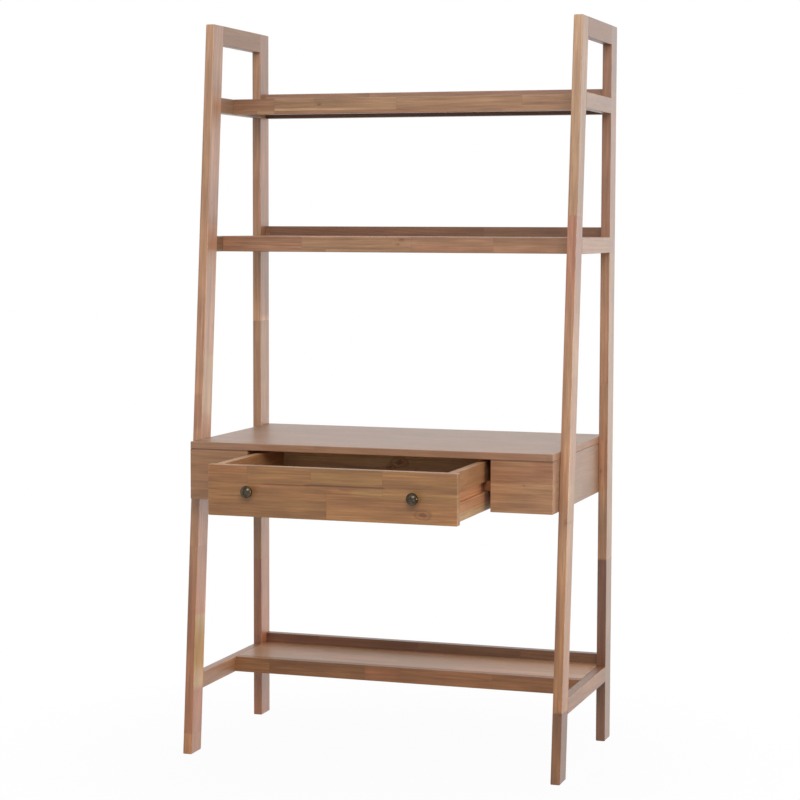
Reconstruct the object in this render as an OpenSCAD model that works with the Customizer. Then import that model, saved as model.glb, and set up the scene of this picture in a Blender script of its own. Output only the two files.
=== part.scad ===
// Wall desk: two ladder-like side frames with a sloped front leg and an upright
// rear leg, three narrow shelves, and a desk case with one wide drawer between
// two fixed front panels. The drawer is drawn at its part-open position.
// Millimetres, +Z up, X across the width, the front faces -Y. The origin is on
// the floor, in the middle of the box round the whole piece, drawer included.

/* [Side frames] */
// Width over the outer faces of the two side frames
frame_w = 940; // [800:5:1100]
// Height of the side frames
frame_h = 1765; // [1700:5:1900]
// Depth on the floor, back of the rear leg to front of the front leg
base_depth = 515; // [480:5:560]
// Depth at the top of the frame
top_depth = 356; // [340:2:400]
// Thickness of the leg and rail stock
stock_t = 22.5; // [20:0.5:28]
// Width of a leg, seen from the side
leg_w = 58; // [50:1:66]
// Height of the rail that closes the frame at the top
top_rail_h = 47; // [40:1:60]
// Height of the side rails and of the shelf rims
rail_h = 38; // [34:1:46]

/* [Mortise and tenon] */
// Thickness of the rail tenons
tenon_t = 9; // [6:0.5:12]
// Length of the rail tenons
tenon_l = 25; // [15:1:30]
// Shoulder above and below a tenon
tenon_shoulder = 6; // [4:0.5:9]
// Gap round a tenon in its mortise
tenon_gap = 0.1; // [0.05:0.05:0.3]

/* [Shelves] */
// Height of the top of the lower shelf
lower_shelf_z = 188; // [140:1:260]
// Distance of the middle shelf's surface below that of the upper shelf
middle_shelf_drop = 338; // [270:1:470]
// Distance of the upper shelf's surface below the top of the frame
upper_shelf_drop = 175; // [155:1:265]
// Depth of the lower shelf
lower_shelf_depth = 234; // [180:1:300]
// Depth of the middle shelf
middle_shelf_depth = 306; // [200:1:310]
// Depth of the upper shelf
upper_shelf_depth = 234; // [180:1:280]
// Thickness of the shelf boards
board_t = 18; // [15:0.5:20]
// Rise of the back rails above the shelf boards
lip_h = 24; // [15:1:40]
// Thickness of the tongues on the shelf boards
tongue_t = 6; // [4:0.5:7]
// Length of the tongues on the shelf boards
tongue_l = 6; // [4:0.5:6]
// Gap round a tongue in its groove
tongue_gap = 0.15; // [0.05:0.05:0.3]

/* [Desk case] */
// Height of the desktop surface
desk_z = 762; // [700:1:800]
// Thickness of the desktop
top_t = 17; // [15:0.5:22]
// Depth of the desktop and case
desk_depth = 513; // [490:1:560]
// Height of the case below the desktop
case_h = 121; // [110:1:140]
// Thickness of the case sides, dividers and back
case_t = 18; // [16:0.5:20]
// Thickness of the fixed front panels and of the drawer front
front_t = 22; // [18:0.5:24]
// Width of the opening between the fixed front panels
opening_w = 600; // [480:2:640]

/* [Drawer] */
// Distance that the drawer is drawn out
drawer_out = 248; // [0:1:260]
// Gap beside the drawer front, each side
front_gap_side = 4.5; // [1.5:0.5:6]
// Gap between the drawer front and the desktop
front_gap_top = 6.5; // [2:0.5:8]
// Height of the drawer front
drawer_front_h = 116; // [100:1:117]
// Gap between the drawer side and the divider
side_gap = 14.5; // [10:0.5:16]
// Thickness of the drawer sides
drawer_side_t = 18; // [16:0.5:20]
// Rise of the drawer sides' lower edge above that of the front
side_rise = 3; // [0:0.5:6]
// Length of the drawer sides behind the front
drawer_len = 400; // [360:5:440]
// Thickness of the drawer back
drawer_back_t = 14; // [12:0.5:18]
// Depth of the housing that takes the drawer back in each side
back_housing = 5; // [3:0.5:6]
// Distance of the drawer back from the tail of the sides
back_inset = 6; // [2:1:20]
// Step of the drawer back's top below the sides' top
back_drop = 8; // [0:1:20]
// Thickness of the drawer bottom
bottom_t = 6; // [4:0.5:8]
// Height of the drawer bottom above the sides' lower edge
bottom_rise = 9; // [6:1:14]
// Depth of the grooves that hold the drawer bottom
bottom_groove = 6; // [4:0.5:6]
// Gap round the drawer bottom and the drawer back in their grooves
panel_gap = 0.15; // [0.05:0.05:0.3]

/* [Runners] */
// Height of a runner
runner_h = 22; // [16:0.5:26]
// Depth of the groove in the drawer side
groove_l = 8; // [6:0.5:9]
// Height of that groove
groove_h = 24; // [19:0.5:28]
// Gap between the runner and the bottom of the groove
runner_gap = 0.6; // [0.3:0.1:1.5]
// Gap above the runner, where the drawer hangs
hang_gap = 0.3; // [0.2:0.1:0.5]
// Gap between the runner's front end and the closed drawer front
stop_gap = 0.3; // [0.2:0.1:1]
// Screws in each runner
runner_screws_n = 3; // [2:1:5]
// Distance of the outer screws from the ends of a runner
runner_screw_inset = 50; // [30:1:80]
// Radius of a runner screw
runner_screw_r = 2; // [1.5:0.25:2.5]
// Length of a runner screw's shank past its head
runner_screw_l = 30; // [25:1:32]
// Radius of a runner screw's head
runner_head_r = 4; // [3:0.25:5]
// Depth of a runner screw's head
runner_head_h = 3; // [2:0.5:4]

/* [Knobs] */
// Diameter of the knob's head
knob_d = 28; // [24:1:34]
// Projection of a knob from the drawer front
knob_len = 25; // [22:1:32]
// Height of the domed part of the head
knob_dome = 10; // [7:0.5:12]
// Radius of the knob's foot
knob_foot_r = 8; // [7:0.5:10]
// Height of the straight edge of the knob's foot
knob_foot_h = 1.4; // [0.8:0.2:2.4]
// Radius of the knob's neck
knob_neck_r = 5.5; // [4.5:0.5:6.5]
// Distance between the two knobs
knob_pitch = 392; // [200:2:440]
// Radius of a knob screw
knob_screw_r = 2; // [1.5:0.25:2.5]
// Length of a knob screw in the knob
knob_screw_l = 11; // [8:1:13]
// Radius of a knob screw's head
knob_head_r = 4.5; // [3.5:0.25:5.5]
// Height of a knob screw's head
knob_head_h = 2.4; // [1.5:0.1:3]

/* [Dowels and bolts] */
// Radius of the dowels
dowel_r = 4; // [3:0.5:5]
// Length of a dowel in the longer of its two holes
dowel_l = 20; // [14:1:26]
// Length of a dowel in the shorter of its two holes
dowel_s = 10; // [6:1:12]
// Gap round a dowel in its hole
dowel_gap = 0.05; // [0:0.05:0.1]
// Spare depth of each dowel and screw hole
hole_spare = 1; // [0.5:0.5:2]
// Distance between the two dowels at the end of a shelf rim
rim_dowel_pitch = 18; // [14:1:22]
// Distance between the two dowels at the end of a back rail
back_dowel_pitch = 34; // [24:1:42]
// Distance of the outer dowels under the desktop from the uprights' ends
top_dowel_inset = 60; // [40:1:90]
// Distance between the two dowels behind a fixed front panel
front_dowel_pitch = 70; // [50:1:90]
// Radius of the bolts between the case and the legs
bolt_r = 3; // [2.5:0.25:4]
// Radius of a bolt's head
bolt_head_r = 6.5; // [5:0.5:9]
// Height of a bolt's head
bolt_head_h = 4; // [3:0.5:6]
// Length of a bolt in the leg
bolt_l = 14; // [10:1:16]
// Distance between the two bolts in one leg
bolt_pitch = 60; // [40:2:80]

/* [Hidden] */
$fn = 64;

slope = (base_depth - top_depth) / frame_h;
leg_slant_w = leg_w * sqrt(1 + slope * slope);
out_x = frame_w / 2;
in_x = out_x - stock_t;
mid_x = out_x - stock_t / 2;
open_x = opening_w / 2;
case_top = desk_z - top_t;
case_bot = case_top - case_h;
case_mid = (case_top + case_bot) / 2;
upper_shelf_z = frame_h - upper_shelf_drop;
middle_shelf_z = upper_shelf_z - middle_shelf_drop;
front_plane = desk_depth + drawer_out;
rear_plane = front_plane - front_t;
dr_top = case_top - front_gap_top;
dr_bot = dr_top - drawer_front_h;
dr_side_bot = dr_bot + side_rise;
dr_mid = (dr_top + dr_bot) / 2;
dr_front_x = open_x - front_gap_side;
dr_out_x = open_x - side_gap;
dr_in_x = dr_out_x - drawer_side_t;
dr_tail = rear_plane - drawer_len;
groove_top = dr_mid + groove_h / 2;
runner_top = groove_top - hang_gap;
runner_bot = runner_top - runner_h;
runner_in_x = dr_out_x - groove_l + runner_gap;
runner_front = desk_depth - front_t - stop_gap;
panel_z = dr_side_bot + bottom_rise;
back_y = (front_plane + knob_len) / 2;

// Side rails of a frame, as [lower edge, upper edge]
SIDE_RAILS = [
  [lower_shelf_z - rail_h, lower_shelf_z],
  [middle_shelf_z - rail_h, middle_shelf_z],
  [upper_shelf_z - rail_h, upper_shelf_z],
  [frame_h - top_rail_h, frame_h]
];
// Shelves, as [top of the board, depth]
SHELVES = [
  [lower_shelf_z, lower_shelf_depth],
  [middle_shelf_z, middle_shelf_depth],
  [upper_shelf_z, upper_shelf_depth]
];

// Distance of the front leg's two edges from the back plane, at height z
function front_d(z) = base_depth - slope * z;
function inner_d(z) = front_d(z) - leg_slant_w;

// Heights of the two bolts in a leg, and where they lie in the front leg
BOLT_Z = [case_mid - bolt_pitch / 2, case_mid + bolt_pitch / 2];
function bolt_d(z) = front_d(z) - leg_slant_w / 2;

// Heights of the dowels at the end of a rim and of a back rail
function rim_dowel_z(top) = [for (s = [-1, 1]) top - rail_h / 2 + s * rim_dowel_pitch / 2];
function lip_dowel_z(top) = [for (s = [-1, 1]) top + (lip_h - rail_h) / 2 + s * back_dowel_pitch / 2];

// Places of the upright dowels under the desktop, and of the lying ones behind
// the front panels
top_dowel_step = (desk_depth - front_t - case_t - 2 * top_dowel_inset) / 2;
TOP_DOWEL_D = [for (i = [0:2]) case_t + top_dowel_inset + i * top_dowel_step];
FRONT_DOWEL_Z = [case_mid - front_dowel_pitch / 2, case_mid + front_dowel_pitch / 2];

// Places of the screws along a runner
runner_screw_step = (runner_front - case_t - 2 * runner_screw_inset) / (runner_screws_n - 1);
RUNNER_D = [for (i = [0:runner_screws_n - 1]) case_t + runner_screw_inset + i * runner_screw_step];

// A box given by its limits across the width, its distances in front of the
// back plane and its heights
module bar(x0, x1, d0, d1, z0, z1) {
  translate([x0, back_y - d1, z0])
    cube([x1 - x0, d1 - d0, z1 - z0]);
}

// A prism along X over an outline of [distance from the back plane, height]
module side_prism(x0, t, pts) {
  translate([x0, 0, 0])
    rotate([90, 0, 90])
      linear_extrude(height = t)
        polygon([for (p = pts) [back_y - p[0], p[1]]]);
}

// Round bars along X, Y and Z
module rod_x(x0, x1, d, z, r) {
  translate([x0, back_y - d, z])
    rotate([0, 90, 0])
      cylinder(h = x1 - x0, r = r);
}
module rod_y(x, d0, d1, z, r) {
  translate([x, back_y - d0, z])
    rotate([90, 0, 0])
      cylinder(h = d1 - d0, r = r);
}
module rod_z(x, d, z0, z1, r) {
  translate([x, back_y - d, z0])
    cylinder(h = z1 - z0, r = r);
}

// Draws a right-hand shape on the chosen side: 1 right, -1 left
module on_side(s) {
  if (s > 0) children();
  else mirror([1, 0, 0]) children();
}

// Tenon, or its mortise when g is the gap round it, at the front of a rail
module front_tenon(rail, g, start) {
  za = rail[0] + tenon_shoulder - g;
  zb = rail[1] - tenon_shoulder + g;
  far = tenon_l + (g > 0 ? hole_spare : 0);
  side_prism(mid_x - tenon_t / 2 - g, tenon_t + 2 * g, [
    [inner_d(za) - start, za], [inner_d(za) + far, za],
    [inner_d(zb) + far, zb], [inner_d(zb) - start, zb]
  ]);
}
module rear_tenon(rail, g, start) {
  za = rail[0] + tenon_shoulder - g;
  zb = rail[1] - tenon_shoulder + g;
  far = tenon_l + (g > 0 ? hole_spare : 0);
  bar(mid_x - tenon_t / 2 - g, mid_x + tenon_t / 2 + g, leg_w - far, leg_w + start, za, zb);
}

module front_leg() {
  difference() {
    side_prism(in_x, stock_t, [
      [front_d(0), 0], [inner_d(0), 0],
      [inner_d(frame_h), frame_h], [front_d(frame_h), frame_h]
    ]);
    for (rail = SIDE_RAILS) front_tenon(rail, tenon_gap, 2);
    for (z = BOLT_Z)
      rod_x(in_x - 1, in_x + bolt_l + hole_spare, bolt_d(z), z, bolt_r + dowel_gap);
  }
}

module rear_leg() {
  difference() {
    bar(in_x, out_x, 0, leg_w, 0, frame_h);
    for (rail = SIDE_RAILS) rear_tenon(rail, tenon_gap, 2);
    for (z = BOLT_Z)
      rod_x(in_x - 1, in_x + bolt_l + hole_spare, leg_w / 2, z, bolt_r + dowel_gap);
    for (s = SHELVES)
      for (z = lip_dowel_z(s[0]))
        rod_x(in_x - 1, in_x + dowel_s + hole_spare, stock_t / 2, z, dowel_r + dowel_gap);
  }
}

// A side rail with its tenons, and the dowel holes for the shelf that it carries
module side_rail(rail, shelf_depth) {
  difference() {
    union() {
      side_prism(in_x, stock_t, [
        [leg_w, rail[0]], [inner_d(rail[0]), rail[0]],
        [inner_d(rail[1]), rail[1]], [leg_w, rail[1]]
      ]);
      front_tenon(rail, 0, 2);
      rear_tenon(rail, 0, 2);
    }
    if (shelf_depth > 0)
      for (z = rim_dowel_z(rail[1]))
        rod_x(in_x - 1, in_x + dowel_s + hole_spare, shelf_depth - stock_t / 2, z,
          dowel_r + dowel_gap);
  }
}

module shelf_board(top, depth) {
  mid = top - board_t / 2;
  bar(-in_x, in_x, stock_t, depth - stock_t, top - board_t, top);
  bar(-in_x, in_x, stock_t - tongue_l, depth - stock_t + tongue_l,
    mid - tongue_t / 2, mid + tongue_t / 2);
}

module tongue_slot(top, d0, d1) {
  mid = top - board_t / 2;
  g = tongue_gap;
  bar(-in_x - 1, in_x + 1, d0, d1, mid - tongue_t / 2 - g, mid + tongue_t / 2 + g);
}

module end_dowel_holes(d, zs) {
  for (z = zs) {
    rod_x(in_x - dowel_l - hole_spare, in_x + 1, d, z, dowel_r + dowel_gap);
    rod_x(-in_x - 1, -in_x + dowel_l + hole_spare, d, z, dowel_r + dowel_gap);
  }
}

module shelf_rim(top, depth) {
  difference() {
    bar(-in_x, in_x, depth - stock_t, depth, top - rail_h, top);
    tongue_slot(top, depth - stock_t - 1, depth - stock_t + tongue_l + tongue_gap);
    end_dowel_holes(depth - stock_t / 2, rim_dowel_z(top));
  }
}

module shelf_back_rail(top) {
  difference() {
    bar(-in_x, in_x, 0, stock_t, top - rail_h, top + lip_h);
    tongue_slot(top, stock_t - tongue_l - tongue_gap, stock_t + 1);
    end_dowel_holes(stock_t / 2, lip_dowel_z(top));
  }
}

// Upright dowels, or their holes, between the desktop and the four uprights
module top_dowels(r, spare) {
  for (x = [-in_x + case_t / 2, -open_x - case_t / 2, open_x + case_t / 2, in_x - case_t / 2])
    for (d = TOP_DOWEL_D)
      rod_z(x, d, case_top - dowel_l - spare, case_top + dowel_s + spare, r);
}

// Lying dowels, or their holes, between a front panel and the two uprights
// behind it
module front_dowels(r, spare) {
  f = desk_depth - front_t;
  for (s = [-1, 1])
    for (x = [open_x + case_t / 2, in_x - case_t / 2])
      for (z = FRONT_DOWEL_Z)
        rod_y(s * x, f - dowel_l - spare, f + dowel_s + spare, z, r);
}

module top_board() {
  difference() {
    bar(-in_x, in_x, 0, desk_depth, case_top, desk_z);
    top_dowels(dowel_r + dowel_gap, hole_spare);
  }
}

module case_side() {
  difference() {
    bar(in_x - case_t, in_x, 0, desk_depth - front_t, case_bot, case_top);
    top_dowels(dowel_r + dowel_gap, hole_spare);
    front_dowels(dowel_r + dowel_gap, hole_spare);
    for (z = BOLT_Z)
      for (d = [bolt_d(z), leg_w / 2])
        rod_x(in_x - case_t - 1, in_x + 1, d, z, bolt_r + dowel_gap);
  }
}

module case_divider() {
  difference() {
    bar(open_x, open_x + case_t, case_t, desk_depth - front_t, case_bot, case_top);
    top_dowels(dowel_r + dowel_gap, hole_spare);
    front_dowels(dowel_r + dowel_gap, hole_spare);
    runner_screw_holes();
  }
}

module case_front() {
  difference() {
    bar(open_x, in_x, desk_depth - front_t, desk_depth, case_bot, case_top);
    front_dowels(dowel_r + dowel_gap, hole_spare);
  }
}

module runner_screw_holes() {
  z = (runner_top + runner_bot) / 2;
  seat = runner_in_x + runner_head_h;
  for (d = RUNNER_D) {
    rod_x(runner_in_x - 1, seat + runner_screw_l + hole_spare, d, z, runner_screw_r + dowel_gap);
    rod_x(runner_in_x - 1, seat, d, z, runner_head_r + dowel_gap);
  }
}

module drawer_runner() {
  difference() {
    bar(runner_in_x, open_x, case_t, runner_front, runner_bot, runner_top);
    runner_screw_holes();
  }
}

module drawer_side() {
  g = panel_gap;
  difference() {
    bar(dr_in_x, dr_out_x, dr_tail, rear_plane, dr_side_bot, dr_top);
    bar(dr_out_x - groove_l, dr_out_x + 1, dr_tail - 1, rear_plane + 1,
      groove_top - groove_h, groove_top);
    bar(dr_in_x - 1, dr_in_x + bottom_groove + g, dr_tail - 1, rear_plane + 1,
      panel_z - g, panel_z + bottom_t + g);
    bar(dr_in_x - 1, dr_in_x + back_housing + g,
      dr_tail + back_inset - g, dr_tail + back_inset + drawer_back_t + g,
      panel_z + bottom_t, dr_top + 1);
    front_corner_dowels(dowel_r + dowel_gap, hole_spare);
  }
}

// Dowels, or their holes, between the drawer front and the drawer sides
module front_corner_dowels(r, spare) {
  x = dr_in_x + drawer_side_t / 2;
  upper = (groove_top + dr_top) / 2;
  lower = (groove_top - groove_h + panel_z + bottom_t) / 2;
  for (s = [-1, 1])
    for (z = [upper, lower])
      rod_y(s * x, rear_plane - dowel_l - spare, rear_plane + dowel_s + spare, z, r);
}

module drawer_face() {
  g = panel_gap;
  difference() {
    bar(-dr_front_x, dr_front_x, rear_plane, front_plane, dr_bot, dr_top);
    bar(-dr_in_x - bottom_groove - g, dr_in_x + bottom_groove + g,
      rear_plane - 1, rear_plane + bottom_groove + g, panel_z - g, panel_z + bottom_t + g);
    front_corner_dowels(dowel_r + dowel_gap, hole_spare);
    for (s = [-1, 1])
      rod_y(s * knob_pitch / 2, rear_plane - 1, front_plane + 1, dr_mid, knob_screw_r + dowel_gap);
  }
}

module drawer_rear() {
  w = dr_in_x + back_housing;
  bar(-w, w, dr_tail + back_inset, dr_tail + back_inset + drawer_back_t,
    panel_z + bottom_t + panel_gap, dr_top - back_drop);
}

module drawer_floor() {
  w = dr_in_x + bottom_groove;
  bar(-w, w, dr_tail, rear_plane + bottom_groove, panel_z, panel_z + bottom_t);
}

// Turned mushroom knob: foot, waisted neck and domed head
module knob(s) {
  r = knob_d / 2;
  rim_z = knob_len - knob_dome;
  waist_z = rim_z / 2;
  foot_flare = knob_foot_r - knob_neck_r;
  head_flare = r - knob_neck_r;
  translate([s * knob_pitch / 2, back_y - front_plane, dr_mid])
    rotate([90, 0, 0])
      difference() {
        rotate_extrude($fn = 96)
          polygon(concat(
            [[0, 0], [knob_foot_r, 0], [knob_foot_r, knob_foot_h]],
            [for (a = [15:15:90]) [
              knob_neck_r + foot_flare * (1 - sin(a)),
              knob_foot_h + (waist_z - knob_foot_h) * (1 - cos(a))
            ]],
            [for (a = [15:15:90]) [
              knob_neck_r + head_flare * (1 - cos(a)),
              waist_z * (1 + sin(a))
            ]],
            [for (a = [7.5:7.5:90]) [r * cos(a), rim_z + knob_dome * sin(a)]]
          ));
        translate([0, 0, -1])
          cylinder(h = knob_screw_l + 1 + hole_spare, r = knob_screw_r + dowel_gap);
      }
}

module screws_for_knobs() {
  for (s = [-1, 1]) {
    rod_y(s * knob_pitch / 2, rear_plane - 0.5, front_plane + knob_screw_l, dr_mid, knob_screw_r);
    rod_y(s * knob_pitch / 2, rear_plane - knob_head_h, rear_plane, dr_mid, knob_head_r);
  }
}

module all_shelf_dowels() {
  for (s = SHELVES)
    for (m = [-1, 1])
      on_side(m) {
        for (z = rim_dowel_z(s[0]))
          rod_x(in_x - dowel_l, in_x + dowel_s, s[1] - stock_t / 2, z, dowel_r);
        for (z = lip_dowel_z(s[0]))
          rod_x(in_x - dowel_l, in_x + dowel_s, stock_t / 2, z, dowel_r);
      }
}

module all_frame_bolts() {
  for (m = [-1, 1])
    on_side(m)
      for (z = BOLT_Z)
        for (d = [bolt_d(z), leg_w / 2]) {
          rod_x(in_x - case_t - 0.5, in_x + bolt_l, d, z, bolt_r);
          rod_x(in_x - case_t - bolt_head_h, in_x - case_t, d, z, bolt_head_r);
        }
}

module all_runner_screws() {
  z = (runner_top + runner_bot) / 2;
  seat = runner_in_x + runner_head_h;
  for (m = [-1, 1])
    on_side(m)
      for (d = RUNNER_D) {
        rod_x(seat - 0.5, seat + runner_screw_l, d, z, runner_screw_r);
        rod_x(runner_in_x + 0.3, seat, d, z, runner_head_r);
      }
}

module front_leg_left() { color([0.66, 0.51, 0.40]) on_side(-1) front_leg(); }
module front_leg_right() { color([0.66, 0.51, 0.40]) on_side(1) front_leg(); }
module rear_leg_left() { color([0.60, 0.45, 0.35]) on_side(-1) rear_leg(); }
module rear_leg_right() { color([0.60, 0.45, 0.35]) on_side(1) rear_leg(); }
module top_rail_left() { color([0.69, 0.57, 0.50]) on_side(-1) side_rail(SIDE_RAILS[3], 0); }
module top_rail_right() { color([0.69, 0.57, 0.50]) on_side(1) side_rail(SIDE_RAILS[3], 0); }
module upper_side_rail_left() {
  color([0.62, 0.46, 0.36]) on_side(-1) side_rail(SIDE_RAILS[2], upper_shelf_depth);
}
module upper_side_rail_right() {
  color([0.73, 0.65, 0.60]) on_side(1) side_rail(SIDE_RAILS[2], upper_shelf_depth);
}
module middle_side_rail_left() {
  color([0.62, 0.46, 0.36]) on_side(-1) side_rail(SIDE_RAILS[1], middle_shelf_depth);
}
module middle_side_rail_right() {
  color([0.73, 0.65, 0.60]) on_side(1) side_rail(SIDE_RAILS[1], middle_shelf_depth);
}
module lower_side_rail_left() {
  color([0.62, 0.50, 0.42]) on_side(-1) side_rail(SIDE_RAILS[0], lower_shelf_depth);
}
module lower_side_rail_right() {
  color([0.70, 0.60, 0.54]) on_side(1) side_rail(SIDE_RAILS[0], lower_shelf_depth);
}
module upper_shelf_board() { color([0.70, 0.61, 0.55]) shelf_board(upper_shelf_z, upper_shelf_depth); }
module upper_shelf_rim() { color([0.60, 0.47, 0.37]) shelf_rim(upper_shelf_z, upper_shelf_depth); }
module upper_shelf_back_rail() { color([0.50, 0.38, 0.32]) shelf_back_rail(upper_shelf_z); }
module middle_shelf_board() {
  color([0.70, 0.61, 0.55]) shelf_board(middle_shelf_z, middle_shelf_depth);
}
module middle_shelf_rim() { color([0.62, 0.49, 0.39]) shelf_rim(middle_shelf_z, middle_shelf_depth); }
module middle_shelf_back_rail() { color([0.50, 0.38, 0.32]) shelf_back_rail(middle_shelf_z); }
module lower_shelf_board() { color([0.72, 0.64, 0.60]) shelf_board(lower_shelf_z, lower_shelf_depth); }
module lower_shelf_rim() { color([0.60, 0.46, 0.36]) shelf_rim(lower_shelf_z, lower_shelf_depth); }
module lower_shelf_back_rail() { color([0.52, 0.40, 0.34]) shelf_back_rail(lower_shelf_z); }
module desktop() { color([0.73, 0.65, 0.60]) top_board(); }
module case_side_left() { color([0.70, 0.62, 0.57]) on_side(-1) case_side(); }
module case_side_right() { color([0.70, 0.62, 0.57]) on_side(1) case_side(); }
module case_front_left() { color([0.61, 0.45, 0.32]) on_side(-1) case_front(); }
module case_front_right() { color([0.63, 0.47, 0.35]) on_side(1) case_front(); }
module case_back() {
  color([0.58, 0.45, 0.36]) bar(-in_x + case_t, in_x - case_t, 0, case_t, case_bot, case_top);
}
module case_divider_left() { color([0.58, 0.45, 0.36]) on_side(-1) case_divider(); }
module case_divider_right() { color([0.58, 0.45, 0.36]) on_side(1) case_divider(); }
module drawer_runner_left() { color([0.50, 0.36, 0.26]) on_side(-1) drawer_runner(); }
module drawer_runner_right() { color([0.50, 0.36, 0.26]) on_side(1) drawer_runner(); }
module drawer_front() { color([0.59, 0.42, 0.29]) drawer_face(); }
module drawer_side_left() { color([0.62, 0.46, 0.32]) on_side(-1) drawer_side(); }
module drawer_side_right() { color([0.64, 0.48, 0.34]) on_side(1) drawer_side(); }
module drawer_back() { color([0.45, 0.34, 0.26]) drawer_rear(); }
module drawer_bottom() { color([0.55, 0.43, 0.33]) drawer_floor(); }
module knob_left() { color([0.27, 0.25, 0.22]) knob(-1); }
module knob_right() { color([0.27, 0.25, 0.22]) knob(1); }
module knob_screws() { color([0.62, 0.62, 0.62]) screws_for_knobs(); }
module shelf_dowels() { color([0.78, 0.66, 0.48]) all_shelf_dowels(); }
module case_dowels() {
  color([0.78, 0.66, 0.48]) {
    top_dowels(dowel_r, 0);
    front_dowels(dowel_r, 0);
  }
}
module drawer_dowels() { color([0.78, 0.66, 0.48]) front_corner_dowels(dowel_r, 0); }
module frame_bolts() { color([0.30, 0.30, 0.30]) all_frame_bolts(); }
module runner_screws() { color([0.62, 0.62, 0.62]) all_runner_screws(); }

front_leg_left();
front_leg_right();
rear_leg_left();
rear_leg_right();
top_rail_left();
top_rail_right();
upper_side_rail_left();
upper_side_rail_right();
middle_side_rail_left();
middle_side_rail_right();
lower_side_rail_left();
lower_side_rail_right();
upper_shelf_board();
upper_shelf_rim();
upper_shelf_back_rail();
middle_shelf_board();
middle_shelf_rim();
middle_shelf_back_rail();
lower_shelf_board();
lower_shelf_rim();
lower_shelf_back_rail();
desktop();
case_side_left();
case_side_right();
case_front_left();
case_front_right();
case_back();
case_divider_left();
case_divider_right();
drawer_runner_left();
drawer_runner_right();
drawer_front();
drawer_side_left();
drawer_side_right();
drawer_back();
drawer_bottom();
knob_left();
knob_right();
knob_screws();
shelf_dowels();
case_dowels();
drawer_dowels();
frame_bolts();
runner_screws();
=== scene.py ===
import math
from collections import namedtuple

import bpy
from mathutils import Matrix, Vector


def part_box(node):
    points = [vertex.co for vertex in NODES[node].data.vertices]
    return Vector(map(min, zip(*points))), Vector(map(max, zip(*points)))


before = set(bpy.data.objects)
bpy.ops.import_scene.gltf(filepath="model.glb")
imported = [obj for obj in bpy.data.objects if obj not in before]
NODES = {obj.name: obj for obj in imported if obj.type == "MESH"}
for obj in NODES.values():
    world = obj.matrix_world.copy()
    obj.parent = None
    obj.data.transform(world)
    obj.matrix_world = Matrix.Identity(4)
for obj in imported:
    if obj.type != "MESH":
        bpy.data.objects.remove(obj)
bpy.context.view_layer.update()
SIDES = ("left", "right")
LEVELS = ("upper", "middle", "lower")

# The looks of a wall desk. Every CAD node gets a material, and every board gets eased edges too. The staves
# of a board are listed one by one or laid by chance.

# Sizes in metres, as in the part's source
FRAME_H = 1.765
BASE_DEPTH, TOP_DEPTH = 0.515, 0.356
SLOPE = (BASE_DEPTH - TOP_DEPTH) / FRAME_H
STOCK_T = 0.0225
LEG_W = 0.058
TOP_RAIL_H = 0.047
RAIL_H = 0.038
BACK_RAIL_H = 0.062

AXIS = {"x": Vector((1, 0, 0)), "y": Vector((0, 1, 0)), "z": Vector((0, 0, 1))}
LEG_ALONG = Vector((0, SLOPE, 1)).normalized()
LEG_ACROSS = Vector((0, -1, SLOPE)).normalized()
WHITE = (1.0, 1.0, 1.0)


# Node helpers
NUMBER_RESULTS = ("DOT_PRODUCT", "DISTANCE", "LENGTH")
MIX_SOCKETS = {"VECTOR": (4, 5, 1), "RGBA": (6, 7, 2)}    # a mix node's two inputs and its output, by kind


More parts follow.
